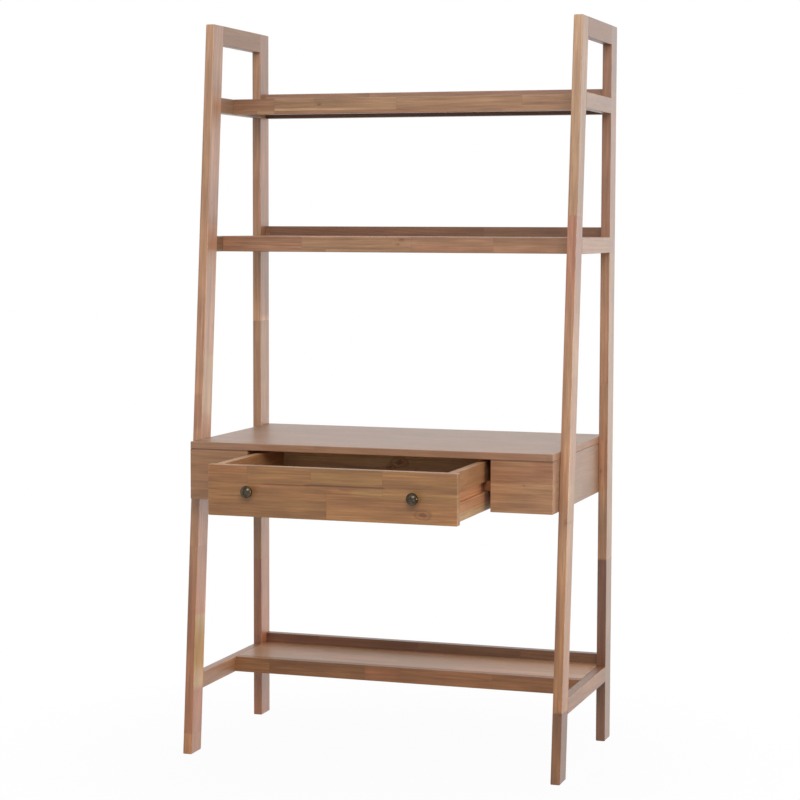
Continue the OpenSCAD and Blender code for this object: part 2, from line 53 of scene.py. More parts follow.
class Net:
    """Adds nodes to one tree with short calls. A value is a number, a tuple, a string or a node's output."""

    def __init__(self, tree):
        self.tree = tree

    def put(self, value, socket):
        """Links an output to the socket, or sets the socket's own value. A colour is given as three parts."""
        if isinstance(value, bpy.types.NodeSocket):
            self.tree.links.new(value, socket)
        elif socket.type == "RGBA":
            socket.default_value = (*value, 1.0)
        else:
            socket.default_value = value

    def node(self, kind, inputs=None, **options):
        """A new node with these options, and with inputs filled by their names or numbers."""
        made = self.tree.nodes.new(kind)
        for key, value in options.items():
            setattr(made, key, value)
        for key, value in (inputs or {}).items():
            self.put(value, made.inputs[key])
        return made

    def math(self, operation, *values, clamp=False):
        inputs = dict(enumerate(values))
        return self.node("ShaderNodeMath", inputs, operation=operation, use_clamp=clamp).outputs[0]

    def plus(self, a, b):
        return self.math("ADD", a, b)

    def minus(self, a, b):
        return self.math("SUBTRACT", a, b)

    def times(self, a, b):
        return self.math("MULTIPLY", a, b)

    def times_plus(self, a, b, c):
        """a times b, plus c."""
        return self.math("MULTIPLY_ADD", a, b, c)

    def between(self, chance, low, high):
        """From low to high as the chance goes from 0 to 1."""
        return self.times_plus(chance, high - low, low)

    def total(self, start, *parts):
        """The start plus each part's value times its weight."""
        for value, weight in parts:
            start = self.times_plus(value, weight, start)
        return start

    def vec(self, operation, *values):
        made = self.node("ShaderNodeVectorMath", dict(enumerate(values)), operation=operation)
        return made.outputs["Value" if operation in NUMBER_RESULTS else "Vector"]

    def scale(self, vector, factor):
        return self.node("ShaderNodeVectorMath", {0: vector, "Scale": factor}, operation="SCALE").outputs[0]

    def xyz(self, x, y, z):
        return self.node("ShaderNodeCombineXYZ", {0: x, 1: y, 2: z}).outputs[0]

    def split(self, vector):
        return tuple(self.node("ShaderNodeSeparateXYZ", {0: vector}).outputs)

    def noise(self, place, detail=2.0, roughness=0.5, output="Fac"):
        inputs = {"Vector": place, "Scale": 1.0, "Detail": detail, "Roughness": roughness}
        return self.node("ShaderNodeTexNoise", inputs).outputs[output]

    def chances(self, number):
        """Three random values from 0 to 1 that belong to a number, as one vector."""
        return self.node("ShaderNodeTexWhiteNoise", {"W": number}, noise_dimensions="1D").outputs["Color"]

    def ramp(self, value, start, stop, low=0.0, high=1.0):
        """A smooth step from low at start to high at stop."""
        inputs = dict(enumerate((value, start, stop, low, high)))
        return self.node("ShaderNodeMapRange", inputs, interpolation_type="SMOOTHSTEP").outputs[0]

    def fade(self, value, start, stop):
        """A smooth step from 1 at start to 0 at stop."""
        return self.ramp(value, start, stop, 1.0, 0.0)

    def mix(self, kind, factor, a, b):
        """a where the factor is 0 and b where it is 1."""
        first, second, result = MIX_SOCKETS[kind]
        return self.node("ShaderNodeMix", {0: factor, first: a, second: b}, data_type=kind).outputs[result]

    def bump(self, height, strength, distance):
        inputs = {"Strength": strength, "Distance": distance, "Height": height}
        return self.node("ShaderNodeBump", inputs).outputs[0]

    def seen(self):
        """1 for rays that show the background: from the camera, a reflection or through glass."""
        path = self.node("ShaderNodeLightPath").outputs
        direct = self.math("MAXIMUM", path["Is Camera Ray"], path["Is Glossy Ray"])
        return self.math("MAXIMUM", direct, path["Is Transmission Ray"])


def new_group(name, tree_kind, inputs, outputs):
    """A node group with sockets of these kinds: the group, its net, its inputs' values and its outputs."""
    group = bpy.data.node_groups.new(name, tree_kind)
    for in_out, sockets in (("INPUT", inputs), ("OUTPUT", outputs)):
        for label, kind in sockets.items():
            group.interface.new_socket(label, in_out=in_out, socket_type="NodeSocket" + kind)
    net = Net(group)
    return group, net, net.node("NodeGroupInput").outputs, net.node("NodeGroupOutput").inputs


def new_material(name):
    """An empty material and its net."""
    material = bpy.data.materials.new(name)
    material.use_nodes = True
    material.node_tree.nodes.clear()
    return material, Net(material.node_tree)


def dress(name, material):
    """Gives a CAD node this material alone."""
    slots = NODES[name].data.materials
    slots.clear()
    slots.append(material)


def srgb(red, green, blue):
    """An sRGB colour, each part from 0 to 255, as linear parts from 0 to 1."""
    def linear(part):
        share = part / 255
        return share / 12.92 if share <= 0.04045 else ((share + 0.055) / 1.055) ** 2.4
    return (linear(red), linear(green), linear(blue))


# The figure that all the wood shares. Each kind of grain is a noise, with its scale per metre along and
# across the fibres, its detail and its roughness.
Grain = namedtuple("Grain", "along across detail roughness", defaults=(0.5,))
WARP = Grain(1.7, 11.0, 1.5)
STRIPE = Grain(2.2, 34.0, 3.0, 0.55)
CLOUD = Grain(9.0, 20.0, 1.0)
STREAK = Grain(10.0, 170.0, 1.0)
FIBRE = Grain(6.0, 330.0, 2.0, 0.6)
PORE = Grain(45.0, 1250.0, 0.0)
WEAR_AND_HIGHLIGHT = Grain(22.0, 60.0, 1.0)

EDGE_WEAR_AND_HIGHLIGHT = (0.0008, 0.0032)       # metres from the board's outside over which its edges' wear and painted highlight fade
END_GRAIN = (0.0001, 0.0004)       # metres from its ends over which the end grain fades
STAVE_SHIFT = 7.0                  # moves each stave to its own place in the noises
PITH_ASIDE = 0.07                  # metres that a stave's pith lies to either side of it, at most
PITH_DEEP = (0.012, 0.082)         # metres that it lies behind the stave
PITH_TILT = 0.055                  # and its slope along the stave
RING_STEP = (0.0055, 0.0105)       # metres from ring to ring
RING_WAVER = (0.045, 0.030)        # metres that the rings waver, to the side and in depth
KNOT_RINGS = 2.2                   # rings by which a knot shifts those round it
RED_WAVER = 1.5                    # units of red over which it wavers
TONE_SHARES = (0.86, 1.0, 1.12)    # darker wood is redder: how far red, green and blue follow the tone
RED_TINT = (0.07, -0.08, -0.03)    # one unit of red: red 7% stronger, green 8% and blue 3% weaker
WARM_TINT = (0.07, -0.05, -0.24)   # one unit of warmth, likewise


def grain_noise(net, place, grain, output="Fac"):
    stretched = net.vec("MULTIPLY", place, (grain.along, grain.across, grain.across))
    return net.noise(stretched, grain.detail, grain.roughness, output)


def growth_rings(net, place, warp, chances, swirl):
    """A wave of rings round a pith that lies nearly along the stave, at a place of the stave's own."""
    along, across, through = net.split(place)
    tilt = net.between(chances[1], -PITH_TILT, PITH_TILT)
    aside = net.plus(net.between(chances[0], -PITH_ASIDE, PITH_ASIDE), net.times_plus(along, tilt, across))
    aside = net.times_plus(warp[0], RING_WAVER[0], aside)
    deep = net.plus(net.between(chances[2], *PITH_DEEP), net.times_plus(warp[1], RING_WAVER[1], through))
    radius = net.math("SQRT", net.plus(net.times(aside, aside), net.times(deep, deep)))
    rings = net.math("DIVIDE", radius, net.between(chances[2], *RING_STEP))
    rings = net.times_plus(swirl, KNOT_RINGS, rings)
    return net.times_plus(net.math("SINE", net.times(rings, 2 * math.pi)), 0.5, 0.5)


def worn_and_highlit_edges(net, place, half, own):
    """Whether a place is on the board's outer edges, worn and with a painted highlight, and whether on its
    end grain, each from 0 to 1.
    """
    gaps = net.split(net.vec("SUBTRACT", half, net.vec("ABSOLUTE", place)))
    near = [net.fade(gap, *EDGE_WEAR_AND_HIGHLIGHT) for gap in gaps]
    edge = net.math("SUBTRACT", net.plus(net.plus(near[0], near[1]), near[2]), 1.0, clamp=True)
    worn = net.ramp(grain_noise(net, own, WEAR_AND_HIGHLIGHT), 0.42, 0.62)
    return net.times(edge, net.between(worn, 0.3, 1.0)), net.fade(gaps[0], *END_GRAIN)


def make_figure():
    """The group that turns a place in a board and its stave's state into colour, roughness and height."""
    group, net, given, result = new_group(
        "wood_figure", "ShaderNodeTree",
        {"Place": "Vector", "Stave": "Vector", "Half": "Vector", "Base": "Color", "Knot": "Float",
         "Contrast": "Float"},
        {"Color": "Color", "Roughness": "Float", "Height": "Float"})
    tone, red, number = net.split(given["Stave"])
    stave_chances = net.chances(number)
    chances = net.split(stave_chances)
    own = net.vec("MULTIPLY_ADD", stave_chances, (STAVE_SHIFT, STAVE_SHIFT, STAVE_SHIFT), given["Place"])
    warp = net.split(net.vec("SUBTRACT", grain_noise(net, own, WARP, "Color"), (0.5, 0.5, 0.5)))
    wave = growth_rings(net, given["Place"], warp, chances, given["Knot"])
    stripe, cloud, streak, fibre = (
        net.minus(grain_noise(net, own, grain), 0.5) for grain in (STRIPE, CLOUD, STREAK, FIBRE))
    pore = net.ramp(grain_noise(net, own, PORE), 0.58, 0.72)
    ring_strength = net.times(net.ramp(stripe, -0.12, 0.12), chances[1])
    ring = net.times(net.math("POWER", wave, 2.0), ring_strength)
    edge, end = worn_and_highlit_edges(net, given["Place"], given["Half"], own)

    # Everything that makes the wood lighter or darker, in stops
    figure = net.total(0.0, (stripe, 1.6), (cloud, 0.7), (fibre, 0.60), (streak, 1.0), (ring, -0.45),
                       (pore, -0.18))
    # The outer edges are lighter, for wear and as a painted highlight
    tone = net.total(tone, (figure, given["Contrast"]), (edge, 0.12), (end, -0.25))
    brightness = net.xyz(*(net.math("POWER", 2.0, net.times(tone, share)) for share in TONE_SHARES))
    tint = net.vec("MULTIPLY_ADD", net.times_plus(warp[2], RED_WAVER, red), RED_TINT, WHITE)
    net.put(net.vec("MULTIPLY", net.vec("MULTIPLY", given["Base"], brightness), tint), result["Color"])

    roughness = net.total(0.47, (stripe, 0.16), (pore, 0.12), (edge, -0.05), (end, 0.14))
    net.put(roughness, result["Roughness"])
    net.put(net.total(0.0, (fibre, 0.5), (pore, -1.0), (wave, 0.15)), result["Height"])
    return group


FIGURE = make_figure()


# Staves: a board is glued up from rows of staves. A state is a vector of tone in stops, red, and the stave's
# number, from which its own figure comes.
FIRST_STAVE, STAVE_STEP = 10.0, 1.37
REST = 9.0                         # a row's height or a stave's length that takes all that is left
JOINT_HALF, JOINT_TONE, JOINT_RED = 0.0006, -0.25, 0.3         # the dark line where staves meet end to end
GLUE_HALF, GLUE_TONE, GLUE_RED = 0.0004, -0.20, 0.2            # and the one between two rows
CHANCE_JOINT, CHANCE_GLUE = 0.0007, 0.0005                     # the widths of both on boards laid by chance
ROW_SEED, STAVE_SEED = 17.3, 1.31  # set apart the random draws of boards with different seeds


def paint(net, state, mask, tone, red, number=0.0):
    """The state with this much added where the mask is 1."""
    return net.vec("MULTIPLY_ADD", mask, (tone, red, number), state)


def laid_row(net, along, start, staves, number):
    """One row of staves from start, and the number of its last stave."""
    number += STAVE_STEP
    row = net.xyz(staves[0][1], staves[0][2], number)
    joint = start
    for (length, tone, red), (_, next_tone, next_red) in zip(staves, staves[1:]):
        number += STAVE_STEP
        joint += length
        past = net.math("GREATER_THAN", along, joint)
        row = paint(net, row, past, next_tone - tone, next_red - red, STAVE_STEP)
        row = paint(net, row, net.math("COMPARE", along, joint, JOINT_HALF), JOINT_TONE, JOINT_RED)
    return row, number


def by_hand(*rows):
    """Rows from the board's low side up, each a height and then its staves as (length, tone, red)."""
    def lay(net, along, across, half):
        state, number, low = None, FIRST_STAVE, -half[1]
        for height, *staves in rows:
            row, number = laid_row(net, along, -half[0], staves, number)
            if state is None:
                state = row
            else:
                state = net.mix("VECTOR", net.math("GREATER_THAN", across, low), state, row)
                state = paint(net, state, net.math("COMPARE", across, low, GLUE_HALF), GLUE_TONE, GLUE_RED)
            low += height
        return state
    return lay


def by_chance(seed, height, length=0.36, spread=0.35, tone=0.0):
    """Rows of one height, with staves whose lengths and tones are random round the ones given."""
    def lay(net, along, across, half):
        # Each row draws its staves' length and their offset
        row_place = net.math("DIVIDE", net.plus(across, half[1]), height)
        row = net.math("FLOOR", row_place)
        long, offset, _ = net.split(net.chances(net.plus(row, seed * ROW_SEED)))
        own_length = net.times(length, net.between(long, 0.7, 1.3))
        stave_place = net.plus(net.math("DIVIDE", net.plus(along, half[0]), own_length), offset)
        # Each stave draws its tone, red and number
        cell = net.xyz(net.plus(net.math("FLOOR", stave_place), 0.37), net.times_plus(row, 1.7, 3.1),
                       seed * STAVE_SEED)
        own = net.node("ShaderNodeTexWhiteNoise", {"Vector": cell}, noise_dimensions="3D").outputs
        first, second, third = net.split(own["Color"])
        own_tone = net.times_plus(net.minus(net.plus(first, second), 1.0), 2.4 * spread, tone)
        red = net.between(third, -3.0 * spread, 3.0 * spread)
        # A dark line at the start of each stave and of each row but the first
        joint = net.math("LESS_THAN", net.times(net.math("FRACT", stave_place), own_length), CHANCE_JOINT)
        glue = net.math("LESS_THAN", net.times(net.math("FRACT", row_place), height), CHANCE_GLUE)
        glue = net.times(glue, net.math("GREATER_THAN", row_place, 0.5))
        own_tone = net.times_plus(net.math("MAXIMUM", joint, glue), JOINT_TONE, own_tone)
        return net.xyz(own_tone, red, net.times(own["Value"], 60.0))
    return lay


# Marks on a board. Their places are metres from its centre, along, across or through it, and the axis says
# which of the last two a knot or stroke keeps to. Tones are in stops.
BOARD_AXES = ("along", "across", "through")
Knot = namedtuple("Knot", "along axis centre radius")
Stroke = namedtuple("Stroke", "start stop axis centre half tone red", defaults=(0.4,))
Band = namedtuple("Band", "axis start stop tone red")                # sharp, over a slab of the board
Shade = namedtuple("Shade", "axis start stop tone red warmth")       # grows slowly from start to stop
KNOT_STRETCH = 0.6                 # distances along the board count for less, so knots are longer along it
STROKE_SOFT_START, STROKE_SOFT_STOP = 0.01, 0.006              # metres before and after that are soft
BAND_SOFT = 0.0006                 # metres inside its edges that are soft


def add_knots(net, state, place, at, knots):
    """Knots with a dark core and a dark rim, and how far they swirl the rings round them."""
    swirl = 0.0
    for knot in knots:
        flat = net.xyz(net.times(at["along"], KNOT_STRETCH), at[knot.axis], 0.0)
        distance = net.vec("DISTANCE", flat, (knot.along * KNOT_STRETCH, knot.centre, 0.0))
        ragged = net.minus(net.noise(net.scale(place, 0.7 / knot.radius)), 0.5)
        distance = net.times_plus(ragged, knot.radius * 1.2, distance)
        core = net.fade(distance, knot.radius * 0.2, knot.radius * 0.75)
        state = paint(net, state, core, -1.05, 0.8)
        from_rim = net.math("ABSOLUTE", net.minus(distance, knot.radius))
        state = paint(net, state, net.fade(from_rim, 0.0, knot.radius * 0.40), -0.50, 0.2)
        swirl = net.plus(swirl, net.fade(distance, 0.0, knot.radius * 3.5))
    return state, swirl


def add_strokes(net, state, at, strokes):
    """Soft strokes along the grain."""
    for stroke in strokes:
        begun = net.ramp(at["along"], stroke.start - STROKE_SOFT_START, stroke.start + STROKE_SOFT_START)
        going = net.fade(at["along"], stroke.stop - STROKE_SOFT_STOP, stroke.stop + STROKE_SOFT_STOP)
        aside = net.math("ABSOLUTE", net.minus(at[stroke.axis], stroke.centre))
        mask = net.times(net.times(begun, going), net.fade(aside, stroke.half * 0.4, stroke.half))
        state = paint(net, state, mask, stroke.tone, stroke.red)
    return state


def add_bands(net, state, at, bands):
    """Bands with sharp edges."""
    for band in bands:
        begun = net.ramp(at[band.axis], band.start, band.start + BAND_SOFT)
        going = net.fade(at[band.axis], band.stop - BAND_SOFT, band.stop)
        state = paint(net, state, net.times(begun, going), band.tone, band.red)
    return state


def add_shades(net, state, base, at, shades):
    """Slow changes, of the base colour too."""
    colour = base
    for shade in shades:
        mask = net.ramp(at[shade.axis], shade.start, shade.stop)
        state = paint(net, state, mask, shade.tone, shade.red)
        warm = net.vec("MULTIPLY_ADD", net.times(mask, shade.warmth), WARM_TINT, WHITE)
        colour = net.vec("MULTIPLY", colour, warm)
    return state, colour


TOOTH_HALF = 0.002                 # finger joints: half the pitch of their teeth, and their depth
TOOTH_DEPTH = 0.004


def wood(name, centre, axes, half, base, staves, contrast=1.0, knots=(), strokes=(), bands=(), shades=(),
         coat=0.5):
    """A board's material, from its centre, its axes and its half sizes along, across and through it. The
    staves are by_hand(...) or by_chance(...), the contrast is that of the grain, and the coat is clear."""
    material, net = new_material(name)
    offset = net.vec("SUBTRACT", net.node("ShaderNodeTexCoord").outputs["Object"], tuple(centre))
    at = {key: net.vec("DOT_PRODUCT", offset, tuple(axis)) for key, axis in zip(BOARD_AXES, axes)}
    place = net.xyz(*at.values())
    # The joints are a zigzag on the board's edges and straight lines on its faces
    teeth = net.math("PINGPONG", at["through"], TOOTH_HALF)
    joint_along = net.times_plus(teeth, TOOTH_DEPTH / TOOTH_HALF, at["along"])
    state = staves(net, joint_along, at["across"], half)
    state, swirl = add_knots(net, state, place, at, knots)
    state = add_strokes(net, state, at, strokes)
    state = add_bands(net, state, at, bands)
    state, colour = add_shades(net, state, base, at, shades)
    figure = net.node("ShaderNodeGroup", {
        "Place": place, "Stave": state, "Half": tuple(half), "Base": colour, "Knot": swirl,
        "Contrast": contrast}, node_tree=FIGURE).outputs
    surface = net.node("ShaderNodeBsdfPrincipled", {
        "Base Color": figure["Color"], "Roughness": figure["Roughness"], "IOR": 1.45,
        "Normal": net.bump(figure["Height"], 0.6, 0.00008),
        "Coat Weight": coat, "Coat Roughness": 0.32, "Coat IOR": 1.5})
    net.node("ShaderNodeOutputMaterial", {"Surface": surface.outputs[0]})
    return material


# Eased edges on the CAD nodes, by modifiers
GEOMETRY = {"Geometry": "Geometry"}
WELD = 1e-6                        # metres within which corners are one
SIDE_SLACK = 0.0002                # how near a side an edge's middle lies to be on that side
SHORTEST_EASED = 0.004             # metres below which an edge isn't eased
SHARPEST_FLAT = 0.5                # radians below which an edge is too flat to be eased
SHARPEST_SMOOTH = 0.62             # radians below which an edge is shaded smooth


def make_clear_group():
    """Welds the mesh and clears its own normals, so that it can be shaded anew."""
    group, net, given, result = new_group("weld_and_clear", "GeometryNodeTree", GEOMETRY, GEOMETRY)
    weld = net.node("GeometryNodeMergeByDistance", {"Geometry": given["Geometry"], "Distance": WELD})
    drop = net.node("GeometryNodeRemoveAttribute", {"Geometry": weld.outputs[0], "Name": "custom_normal"})
    faces = net.node("GeometryNodeSetShadeSmooth", {"Geometry": drop.outputs[0]}, domain="FACE")
    edges = net.node("GeometryNodeSetShadeSmooth", {"Geometry": faces.outputs[0]}, domain="EDGE")
    net.put(edges.outputs[0], result["Geometry"])
    return group


def make_mark_group():
    """Marks the edges to be eased: those where two of the board's six sides meet at an angle."""
    group, net, given, result = new_group(
        "mark_outer_edges", "GeometryNodeTree",
        {"Geometry": "Geometry", "Centre": "Vector", "Across": "Vector", "Through": "Vector",
         "End": "Vector", "Half": "Vector", "Ends": "Float"}, GEOMETRY)
    corners = net.node("GeometryNodeInputMeshEdgeVertices").outputs
    first, second = corners["Position 1"], corners["Position 2"]
    middle = net.vec("SUBTRACT", net.scale(net.vec("ADD", first, second), 0.5), given["Centre"])
    half_end, half_across, half_through = net.split(given["Half"])
    on_side = []
    for axis, half in (("Across", half_across), ("Through", half_through), ("End", half_end)):
        distance = net.math("ABSOLUTE", net.vec("DOT_PRODUCT", middle, given[axis]))
        on_side.append(net.math("GREATER_THAN", distance, net.minus(half, SIDE_SLACK)))
    sides = net.plus(net.plus(on_side[0], on_side[1]), net.times(on_side[2], given["Ends"]))
    angle = net.node("GeometryNodeInputMeshEdgeAngle").outputs["Unsigned Angle"]
    mark = net.times(net.math("GREATER_THAN", sides, 1.5), net.math("GREATER_THAN", angle, SHARPEST_FLAT))
    mark = net.times(mark, net.math("GREATER_THAN", net.vec("DISTANCE", first, second), SHORTEST_EASED))
    stored = net.node("GeometryNodeStoreNamedAttribute",
                      {"Geometry": given["Geometry"], "Name": "bevel_weight_edge", "Value": mark},
                      data_type="FLOAT", domain="EDGE")
    net.put(stored.outputs[0], result["Geometry"])
    return group


def make_corner_group():
    """Keeps every corner sharp that is sharper than the steps of an eased edge."""
    group, net, given, result = new_group("sharp_corners", "GeometryNodeTree", GEOMETRY, GEOMETRY)
    angle = net.node("GeometryNodeInputMeshEdgeAngle").outputs["Unsigned Angle"]
    smooth = net.math("LESS_THAN", angle, SHARPEST_SMOOTH)
    edges = net.node("GeometryNodeSetShadeSmooth", {"Geometry": given["Geometry"], "Shade Smooth": smooth},
                     domain="EDGE")
    net.put(edges.outputs[0], result["Geometry"])
    return group


def make_inside_group():
    """Keeps the eased edges inside the piece's own box."""
    group, net, given, result = new_group(
        "keep_inside", "GeometryNodeTree", {"Geometry": "Geometry", "Low": "Vector", "High": "Vector"},
        GEOMETRY)
    place = net.node("GeometryNodeInputPosition").outputs[0]
    inside = net.vec("MINIMUM", net.vec("MAXIMUM", place, given["Low"]), given["High"])
    moved = net.node("GeometryNodeSetPosition", {"Geometry": given["Geometry"], "Position": inside})
    net.put(moved.outputs[0], result["Geometry"])
    return group


CLEAR = make_clear_group()
MARK = make_mark_group()
CORNERS = make_corner_group()
INSIDE = make_inside_group()


def modify(piece, name, kind, **settings):
    modifier = piece.modifiers.new(name, kind)
    for key, value in settings.items():
        setattr(modifier, key, value)
    return modifier


def modify_by_nodes(piece, name, group, **inputs):
    """Adds a node group as a modifier and fills its inputs, which are vectors or numbers, by name."""
    modifier = modify(piece, name, "NODES", node_group=group)
    keys = {socket.name: socket.identifier for socket in group.interface.items_tree
            if socket.in_out == "INPUT"}
    for label, value in inputs.items():
        modifier[keys[label]] = value if isinstance(value, float) else [float(part) for part in value]


def ease_edges(piece, low, high, axes, half, width, ends):
    """Rounds a board's outer edges to this width, and its end edges where ends is true."""
    modify_by_nodes(piece, "clear", CLEAR)
    modify(piece, "planar", "DECIMATE", decimate_type="DISSOLVE", angle_limit=math.radians(0.5))
    modify_by_nodes(piece, "mark", MARK, Centre=(low + high) / 2, Across=axes[1], Through=axes[2],
                    End=axes[0], Half=half, Ends=float(ends))
    modify(piece, "ease", "BEVEL", width=width, segments=3, limit_method="WEIGHT",
           edge_weight="bevel_weight_edge")
    modify_by_nodes(piece, "corners", CORNERS)
    modify_by_nodes(piece, "inside", INSIDE, Low=low, High=high)
    modify(piece, "normals", "WEIGHTED_NORMAL", keep_sharp=True, weight=60)


def board(name, grain, base, staves, ease, ends=True, **looks):
    """Dresses a CAD board. grain is the letters of its axes along and across, or "leg" for a front leg."""
    low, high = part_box(name)
    if grain == "leg":
        axes = (LEG_ALONG, LEG_ACROSS, AXIS["x"])
        half = (FRAME_H / 2 * math.sqrt(1 + SLOPE * SLOPE), LEG_W / 2, STOCK_T / 2)
        end_axis, end_half = AXIS["z"], FRAME_H / 2
    else:
        through = ({"x", "y", "z"} - set(grain)).pop()
        axes = tuple(AXIS[letter] for letter in grain + through)
        half = tuple(abs((high - low).dot(axis)) / 2 for axis in axes)
        end_axis, end_half = axes[0], half[0]
    ease_edges(NODES[name], low, high, (end_axis, *axes[1:]), (end_half, *half[1:]), ease, ends)
    dress(name, wood(name + "_wood", (low + high) / 2, axes, half, base, staves, **looks))


# Base colours of the wood
LEG = srgb(156, 113, 80)
RAIL = srgb(155, 115, 86)
RAIL_WARM = srgb(160, 112, 78)
SHELF = srgb(159, 115, 83)
SHELF_PALE = srgb(158, 121, 97)
SHELF_WARM = srgb(163, 113, 72)
TOP = srgb(160, 118, 88)
CASE = srgb(154, 110, 75)
CASE_SIDE = srgb(150, 113, 86)
FRONT = srgb(150, 104, 61)
DRAWER = srgb(162, 115, 76)
INNER = srgb(172, 138, 106)
BOTTOM = srgb(178, 148, 116)
RUNNER = srgb(160, 100, 58)
DOWEL = srgb(190, 150, 105)

# Legs. Here and below, staves listed one by one, knots and strokes lie about where the photograph shows them.
# The right face of a leg is a left leg's inner face and a right leg's outer face.
LEG_EASE = 0.0022
SKIN, FRONT_SKIN = 0.0016, 0.0022  # how deep a stroke over a whole right or front face goes


def right_face(start, stop, tone, red=0.4):
    """A stroke over the whole right face of a leg."""
    return Stroke(start, stop, "through", STOCK_T / 2, SKIN, tone, red)


def front_face(start, stop, tone):
    """A stroke over the whole front face of a rear leg."""
    return Stroke(start, stop, "across", -LEG_W / 2, FRONT_SKIN, tone)


INNER_LOW_PAINTED_LIGHT = right_face(-0.72, -0.27, 0.24)       # painted light: a left leg's inner face, paler below the case
INNER_TOP_PAINTED_SHADE = right_face(0.34, 0.95, -0.30)        # and painted shade: darker at the shelves
LEG_FOOT_PAINTED_SHADE = Shade("along", -0.25, -0.70, 0.0, 0.0, 1.0)        # painted shade: warmer towards the floor, where the coat reflects less light
# The same painted shade on the left front leg, with a little more tone and red
LEFT_FOOT_PAINTED_SHADE = Shade("along", -0.25, -0.70, 0.05, 0.7, 1.3)
LEG_TOP_PAINTED_LIGHT = Shade("along", 0.45, 0.88, 0.35, 0.0, -0.3)         # and painted light: paler towards the top


def dress_front_legs():
    board("front_leg_left", "leg", LEG,
          by_hand((LEG_W, (0.050, 0.32, -0.3), (0.453, 0.28, 0.3), (REST, 0.54, 0.3))),
          ease=LEG_EASE, contrast=1.2, coat=0.95, knots=[Knot(0.45, "across", 0.012, 0.003)],
          strokes=[Stroke(-0.64, -0.54, "through", 0.0, 0.012, -0.22),
                   Stroke(-0.10, -0.015, "through", -0.002, 0.014, -0.35), INNER_LOW_PAINTED_LIGHT, INNER_TOP_PAINTED_SHADE,
                   # On the inner face, the stroke from -0.73 to -0.55 is painted light from the right, low
                   # down, and the one from 0.72 is painted shade at the top
                   right_face(-0.95, -0.73, -0.15), right_face(-0.73, -0.55, 0.40, -2.6),
                   right_face(-0.06, 0.08, 0.15, -1.0), right_face(0.34, 0.40, 0.36, 0.0),
                   right_face(0.72, 0.95, -0.35, 0.0)],
          shades=[LEFT_FOOT_PAINTED_SHADE, LEG_TOP_PAINTED_LIGHT])
    # A painted highlight lies behind the right leg's front corner, and its outer face is darker and less red
    # by painted shade
    painted_corner_highlight = Band("across", 0.0228, 0.0284, 0.14, 0.3)
    outer = Band("through", 0.0103, 0.0125, -0.14, -0.4)
    redder_above = Shade("along", 0.05, 0.38, -0.60, 1.2, 0.0)
    board("front_leg_right", "leg", LEG,
          by_hand((LEG_W, (0.164, -0.62, 0.1), (1.144, 0.44, 0.1), (REST, 1.12, -1.2))),
          ease=LEG_EASE, contrast=1.25, coat=0.6,
          knots=[Knot(-0.2865, "through", 0.0065, 0.004), Knot(-0.7266, "through", 0.0065, 0.0035)],
          strokes=[Stroke(-0.715, -0.695, "through", 0.004, 0.006, 0.25),
                   Stroke(-0.60, 0.30, "through", -0.006, 0.005, -0.12),
                   # Over the outer face, the strokes at the top, from 0.4219, and at the foot, below -0.42,
                   # are painted shade
                   right_face(0.4219, 0.95, -0.50), right_face(-0.95, -0.7221, -0.45),
                   right_face(-0.7221, -0.42, -0.22), right_face(-0.20, 0.05, -0.25)],
          bands=[painted_corner_highlight, outer], shades=[LEG_FOOT_PAINTED_SHADE, redder_above, LEG_TOP_PAINTED_LIGHT])


def dress_rear_legs():
    # The third stave is lighter as painted light in the shade under the middle shelf, which the stroke from
    # 0.1615 takes back on the inner face as painted shade; the stroke from -0.72 is a painted shadow just
    # above the lower shelf, and the last shade darkens the top again
    board("rear_leg_left", "zy", LEG,
          by_hand((LEG_W, (0.414, 0.14, 1.0), (0.62, 0.10, -0.1), (0.19, 0.84, 0.3), (REST, 0.42, 0.1))),
          ease=LEG_EASE, contrast=1.25, coat=0.95,
          strokes=[INNER_LOW_PAINTED_LIGHT, INNER_TOP_PAINTED_SHADE, Stroke(-0.72, -0.67, "through", 0.0, 0.014, -0.35),
                   right_face(0.1615, 0.3315, -0.85, 0.0)],
          shades=[LEG_FOOT_PAINTED_SHADE, Shade("along", 0.68, 0.80, -0.35, 0.0, 0.0)])
    # On the right rear leg the outer band and the stroke over the outer face from 0.3335 are painted shade;
    # the front face from -0.90 to -0.4245 is darker by painted shade below the desk; the low stave is dark
    # partly in its own tone and partly by painted shade; the last shade darkens the top again
    outer = Band("through", 0.0103, 0.0125, -0.30, -0.6)
    board("rear_leg_right", "zy", LEG,
          by_hand((LEG_W, (0.458, -0.45, 0.1), (0.438, 0.24, 0.2), (0.32, 0.28, 0.1), (REST, 0.10, 0.6))),
          ease=LEG_EASE, contrast=1.25, coat=0.8, knots=[Knot(-0.2055, "through", -0.005, 0.003)],
          strokes=[Stroke(-0.245, -0.130, "through", -0.002, 0.005, 0.35),
                   Stroke(-0.29, -0.09, "through", 0.0078, 0.0035, -0.25),
                   front_face(-0.90, -0.4245, -0.65), front_face(0.0135, 0.33, 0.26),
                   right_face(-0.62, -0.4245, 0.30), right_face(0.3335, 0.90, -0.25)],
          bands=[outer], shades=[LEG_FOOT_PAINTED_SHADE, Shade("along", 0.66, 0.80, -0.40, 0.0, 0.0)])


# Rails of the side frames, with tones for the left and the right
RAIL_EASE = 0.0020
TOP_RAIL_TONES = (-0.12, -0.66)
SIDE_RAIL_TONES = {"upper": (-0.38, -0.20), "middle": (-0.64, 0.06), "lower": (0.20, -0.40)}


